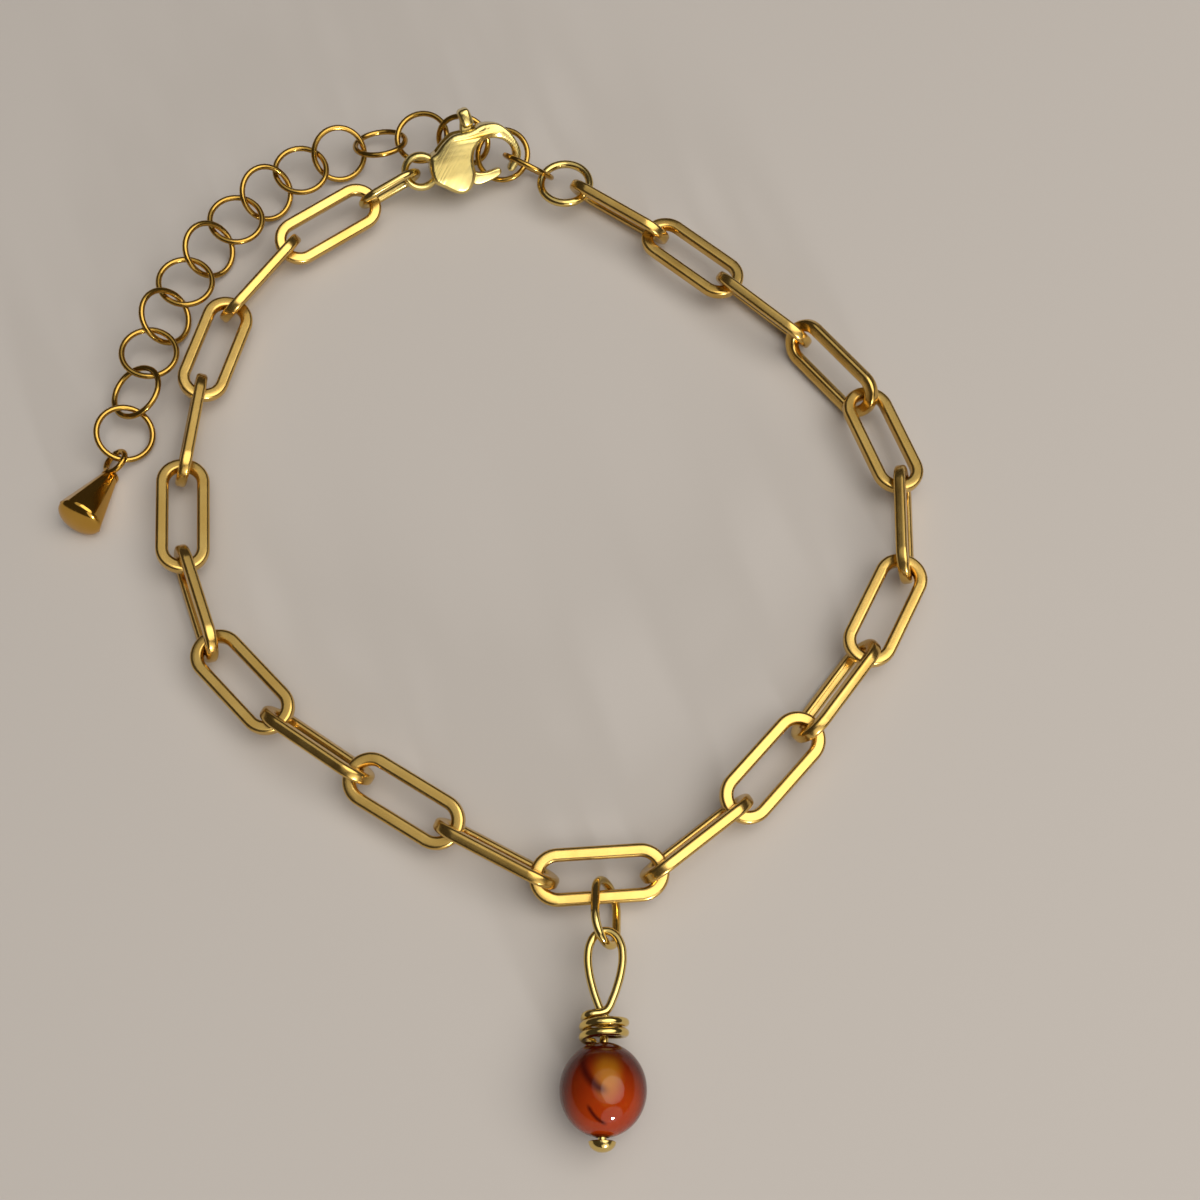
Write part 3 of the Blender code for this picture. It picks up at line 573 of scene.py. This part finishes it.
# Carnelian, its marks placed in mm from the bead's middle: X towards the pin's head, Z up
carnelian = clearStone("polished carnelian", {
    # the amber patch here is a painted glow of light through the stone
    "deep": "#A02C06", "bright": "#C84C10", "cloudSize": 3.0 * mm, "paintedGlow": "#E69A22",
    "paintedGlowMiddle": (-0.9 * mm, 0.3 * mm, 2.7 * mm), "paintedGlowSize": (2.7 * mm, 1.3 * mm, 3.0 * mm),
    # the maroon here is painted shade towards the outline, along a face direction close to the camera's
    "rim": "#641604", "rimShadeRun": (0.7 * mm, 2.8 * mm), "face": (0.42, 0.0, 0.906),
    "vein": "#5E1408", "veins": [
        {"centre": (-1.4 * mm, 0.9 * mm, 2.0 * mm), "radius": 2.3 * mm, "width": 0.42 * mm,
         "middle": (-0.6 * mm, -1.2 * mm, 2.6 * mm), "reach": 2.2 * mm},
        {"centre": (0.6 * mm, 1.4 * mm, 3.2 * mm), "radius": 2.6 * mm, "width": 0.25 * mm,
         "middle": (2.2 * mm, -0.7 * mm, 2.0 * mm), "reach": 1.2 * mm},
    ],
    "roughness": 0.04, "ior": 1.54, "shine": 0.2, "clearness": 0.35,
    "milkiness": 0.4, "glowDepth": 0.8 * mm, "glowSpread": (1.0, 0.35, 0.12),
}, stoneSpace)


def pinRoute():
    # the wire's way from its head back through the bead, round the loop and on into the wraps;
    # local X runs from the loop to the bead
    wire = charm["wire"]
    apex = -0.5 * (wire + charm["gap"])
    neck = charm["loopLength"] - wire
    halfWidth = 0.5 * (charm["loopWidth"] - wire)
    wrapRadius = 0.5 * (charm["wrapWidth"] - wire)
    beadStart = charm["beadMiddle"] - 0.5 * charm["beadLength"]
    tip = charm["beadMiddle"] + 0.5 * charm["beadLength"] + charm["gap"]
    wireEnd = tip + charm["headHold"] * charm["headHeight"]
    route = [Vector((wireEnd, 0, 0)), Vector((beadStart, 0, 0))]
    for k in range(charm["loopSteps"] + 1):
        share = k / charm["loopSteps"]
        angle = math.pi * (2 * k / charm["loopSteps"] - 1)
        swell = 0.5 * (1 + math.cos(angle))
        x = neck + (apex - neck) * swell
        y = halfWidth * math.sin(angle) * (charm["neckShare"] + charm["bulge"] * swell)
        route.append(Vector((x, y, charm["crossing"] * wire * share ** 2)))
    narrow, growth = charm["wrapOpening"]
    for k in range(2, round(charm["wraps"] * charm["turnSteps"])):
        angle = 0.5 * math.pi + 2 * math.pi * k / charm["turnSteps"]
        reach = wrapRadius * min(1.0, narrow + growth * k)
        x = neck + charm["wrapStart"] * wire + charm["wrapPitch"] * k / charm["turnSteps"]
        route.append(Vector((x, reach * math.cos(angle), reach * math.sin(angle))))
    return route


def turnedShape(name, profile, sides, matrix):
    # a solid turned about X from (x, radius) pairs whose ends lie on the axis
    work = bmesh.new()
    loops = []
    for x, radius in profile:
        if radius == 0:
            loops.append([work.verts.new((x, 0, 0))])
        else:
            angles = [2 * math.pi * (k + 0.5) / sides - 0.5 * math.pi for k in range(sides)]
            loops.append([work.verts.new((x, radius * math.cos(a), radius * math.sin(a))) for a in angles])
    for near, far in zip(loops, loops[1:]):
        for k in range(sides):
            after = k + 1
            ring = [near[k % len(near)], near[after % len(near)], far[after % len(far)], far[k % len(far)]]
            work.faces.new(list(dict.fromkeys(ring)))
    work.transform(matrix)
    return shapeObject(name, work)


def makeHeadPin():
    # the bent wire, then its domed head under the bead
    curve = bpy.data.curves.new("headPin", "CURVE")
    curve.dimensions = "3D"
    curve.bevel_depth = 0.5 * charm["wire"]
    curve.bevel_resolution = 5
    curve.resolution_u = 5
    curve.use_fill_caps = True
    spline = curve.splines.new("BEZIER")
    route = pinRoute()
    spline.bezier_points.add(len(route) - 1)
    for point, spot in zip(spline.bezier_points, route):
        point.co = spot
        point.handle_left_type = "AUTO"
        point.handle_right_type = "AUTO"
    pin = bpy.data.objects.new("headPin", curve)
    bpy.context.scene.collection.objects.link(pin)
    pin = outwards(finishedMesh(pin))
    tip = charm["beadMiddle"] + 0.5 * charm["beadLength"] + charm["gap"]
    half, height = 0.5 * charm["headWidth"], charm["headHeight"]
    dome = [(tip, 0), (tip, 0.9 * half), (tip + 0.08 * height, half)]
    dome += [(tip + height * math.sin(a), half * math.cos(a)) for a in (0.35, 0.65, 0.95, 1.25)]
    dome.append((tip + height, 0))
    head = turnedShape("head", dome, charm["headSides"], Matrix.Identity(4))
    pin = combine(pin, ("UNION", head))
    pin.data.transform(charmSpace)
    pin = softenEdges(pin, angle=50)
    dress(pin, paleWire, "bracelet", "pale_gold_brass", "head_pin")


def makeBead():
    # a drilled bead: outside from pole to pole, then back through the hole
    half, radius, hole = 0.5 * charm["beadLength"], 0.5 * charm["beadWidth"], 0.5 * charm["hole"]
    steps, sides = 36, 64
    start = math.asin(hole / radius)
    profile = []
    for k in range(steps + 1):
        a = start + (math.pi - 2 * start) * k / steps
        profile.append((-half * math.cos(a), radius * math.sin(a)))
    profile += [(share * half, 0.98 * hole) for share in (0.96, 0.5, 0, -0.5, -0.96)]
    work = bmesh.new()
    angles = [2 * math.pi * j / sides for j in range(sides)]
    loops = [[work.verts.new((x, r * math.cos(a), r * math.sin(a))) for a in angles] for x, r in profile]
    for i in range(len(loops)):
        near, far = loops[i], loops[(i + 1) % len(loops)]
        for j in range(sides):
            work.faces.new((near[j], near[(j + 1) % sides], far[(j + 1) % sides], far[j]))
    work.transform(charmSpace @ Matrix.Translation((charm["beadMiddle"], 0, 0)))
    bead = shapeObject("birthstoneBead", work)
    bead = softenEdges(bead, angle=40)
    dress(bead, carnelian, "bracelet", "carnelian", "birthstone")


makeHeadPin()
makeBead()
print("charm made")


# Teardrop: a cone with ten polished facets, lying on one of them, its eye soldered to the neck.
# The collar is the solder's rounding, as places and radii in mm; the foot is the rounded base

drop = {
    "joint": (-30.787 * mm, 10.148 * mm), "heading": 250, "gap": 0.2 * mm,
    "length": 5.7 * mm, "width": 3.9 * mm, "neck": 1.2 * mm, "side": 0.88, "facets": 10,
    "edge": 0.09 * mm, "edgeAngle": 25, "footSides": 48, "footInset": 0.1 * mm, "footWidths": (0.85, 0.95),
    "eyeWidth": 2.5 * mm, "eyeWire": 0.5 * mm, "eyeHeight": 1.1 * mm, "eyeRoll": 34,
    "collar": [(-0.25, 0), (-0.25, 0.5), (0, 0.72), (0.25, 0.72), (0.4, 0)], "collarSides": 20,
    "collarPlace": (0.1 * mm, 0.62 * mm),
}


def makeDrop():
    eyeRadius = 0.5 * (drop["eyeWidth"] - drop["eyeWire"])
    eyeMiddle = eyeRadius - 0.5 * (drop["eyeWire"] + drop["gap"])
    neckPlace = eyeMiddle + eyeRadius
    flat = math.cos(math.pi / drop["facets"])
    neck, base, side = 0.5 * drop["neck"], 0.5 * drop["width"], drop["side"] * drop["length"]
    slope = math.atan((base - neck) * flat / side)
    tilt = Matrix.Rotation(-slope, 4, "Y")
    profile = [(0, 0), (0, neck), (side, base), (side, 0)]
    place = Matrix.Translation((neckPlace, 0, neck * flat / math.cos(slope))) @ tilt
    cone = turnedShape("teardrop", profile, drop["facets"], place)
    lowest = min(v.co.z for v in cone.data.vertices)
    onFloor = Matrix.Translation((0, 0, -lowest))
    cone.data.transform(onFloor)
    footStart = side - drop["footInset"]
    narrow, wide = drop["footWidths"]
    dome = [(footStart, 0), (footStart, narrow * base)]
    for angle in range(0, 90, 9):
        turn = math.radians(angle)
        dome.append((side + (drop["length"] - side) * math.sin(turn), wide * base * math.cos(turn)))
    dome.append((drop["length"], 0))
    foot = turnedShape("foot", dome, drop["footSides"], onFloor @ place)
    rim = cone.modifiers.new("rim", "BEVEL")
    rim.width = drop["edge"]
    rim.segments = 2
    rim.limit_method = "ANGLE"
    rim.angle_limit = math.radians(drop["edgeAngle"])
    cone = finishedMesh(cone)
    along, height = drop["collarPlace"]
    collarShape = [(x * mm, radius * mm) for x, radius in drop["collar"]]
    collar = turnedShape("collar", collarShape, drop["collarSides"],
                         Matrix.Translation((neckPlace + along, 0, height)) @ tilt)
    eyeRoll = Matrix.Rotation(math.radians(drop["eyeRoll"]), 4, "X")
    eye = ringOfWire("eye", eyeRadius, 0.5 * drop["eyeWire"], 0.5 * drop["eyeWire"],
                     Matrix.Translation((eyeMiddle, 0, drop["eyeHeight"])) @ eyeRoll)
    cone = combine(cone, ("UNION", foot), ("UNION", collar), ("UNION", eye))
    heading = Matrix.Rotation(math.radians(drop["heading"]), 4, "Z")
    cone.data.transform(Matrix.Translation((*drop["joint"], 0)) @ heading)
    cone = softenEdges(cone, angle=22)
    dress(cone, polishedDrop, "bracelet", "gold_plated_steel", "drop")


makeDrop()
print("teardrop made")


# Floor, light and camera

studio = {
    "floor": "#C8C2BD", "floorReach": 2.0, "floorRoughness": 0.9, "world": "#6A625A", "worldStrength": 0.4,
    "lights": [
        {"name": "overhead", "to": (0.43, -0.16, 0.885), "away": 0.7, "size": 0.85, "watts": 3.5,
         "colour": "#FFFAF2"},
        {"name": "ceiling", "to": (0.2, 0.0, 0.98), "away": 0.75, "size": 1.3, "watts": 2.4,
         "colour": "#FFFDF8"},
        {"name": "wall", "to": (0.33, -0.91, 0.25), "away": 0.7, "size": 0.6, "watts": 0.9,
         "colour": "#FFFAF2"},
        {"name": "window", "to": (0.33, -0.93, 0.135), "away": 0.6, "size": 0.06, "watts": 1.4,
         "colour": "#FFFFFF"},
    ],
    "lookAt": (8.694 * mm, -2.449 * mm, 0.0), "distance": 131 * mm, "elevation": 65, "fieldOfView": 40,
    "sensor": 36, "clip": (0.005, 10),
}


def makeFloor():
    work = bmesh.new()
    bmesh.ops.create_grid(work, x_segments=2, y_segments=2, size=studio["floorReach"])
    floor = shapeObject("floor", work)
    if floor.data.polygons[0].normal.z < 0:
        floor.data.flip_normals()
    material = bpy.data.materials.new("pale matt board")
    material.use_nodes = True
    shader = material.node_tree.nodes["Principled BSDF"]
    shader.inputs["Base Color"].default_value = hexColour(studio["floor"])
    shader.inputs["Roughness"].default_value = studio["floorRoughness"]
    floor.data.materials.append(material)


def makeLights():
    world = bpy.data.worlds.new("studio")
    bpy.context.scene.world = world
    world.use_nodes = True
    background = world.node_tree.nodes["Background"]
    background.inputs["Color"].default_value = hexColour(studio["world"])
    background.inputs["Strength"].default_value = studio["worldStrength"]
    for row in studio["lights"]:
        data = bpy.data.lights.new(row["name"], "AREA")
        data.shape = "DISK"
        data.size = row["size"]
        data.energy = row["watts"]
        data.color = hexColour(row["colour"])[:3]
        lamp = bpy.data.objects.new(row["name"], data)
        way = Vector(row["to"]).normalized()
        lamp.location = Vector(studio["lookAt"]) + way * row["away"]
        lamp.rotation_euler = (-way).to_track_quat("-Z", "Y").to_euler()
        bpy.context.scene.collection.objects.link(lamp)


def makeCamera():
    data = bpy.data.cameras.new("camera")
    data.sensor_width = studio["sensor"]
    data.lens = 0.5 * studio["sensor"] / math.tan(math.radians(0.5 * studio["fieldOfView"]))
    data.clip_start, data.clip_end = studio["clip"]
    camera = bpy.data.objects.new("camera", data)
    tilt = math.radians(studio["elevation"])
    way = Vector((0, -math.cos(tilt), math.sin(tilt)))
    camera.location = Vector(studio["lookAt"]) + way * studio["distance"]
    camera.rotation_euler = (-way).to_track_quat("-Z", "Y").to_euler()
    bpy.context.scene.collection.objects.link(camera)
    bpy.context.scene.camera = camera


makeFloor()
makeLights()
makeCamera()
bpy.context.scene.view_settings.view_transform = "Standard"
print("studio made")
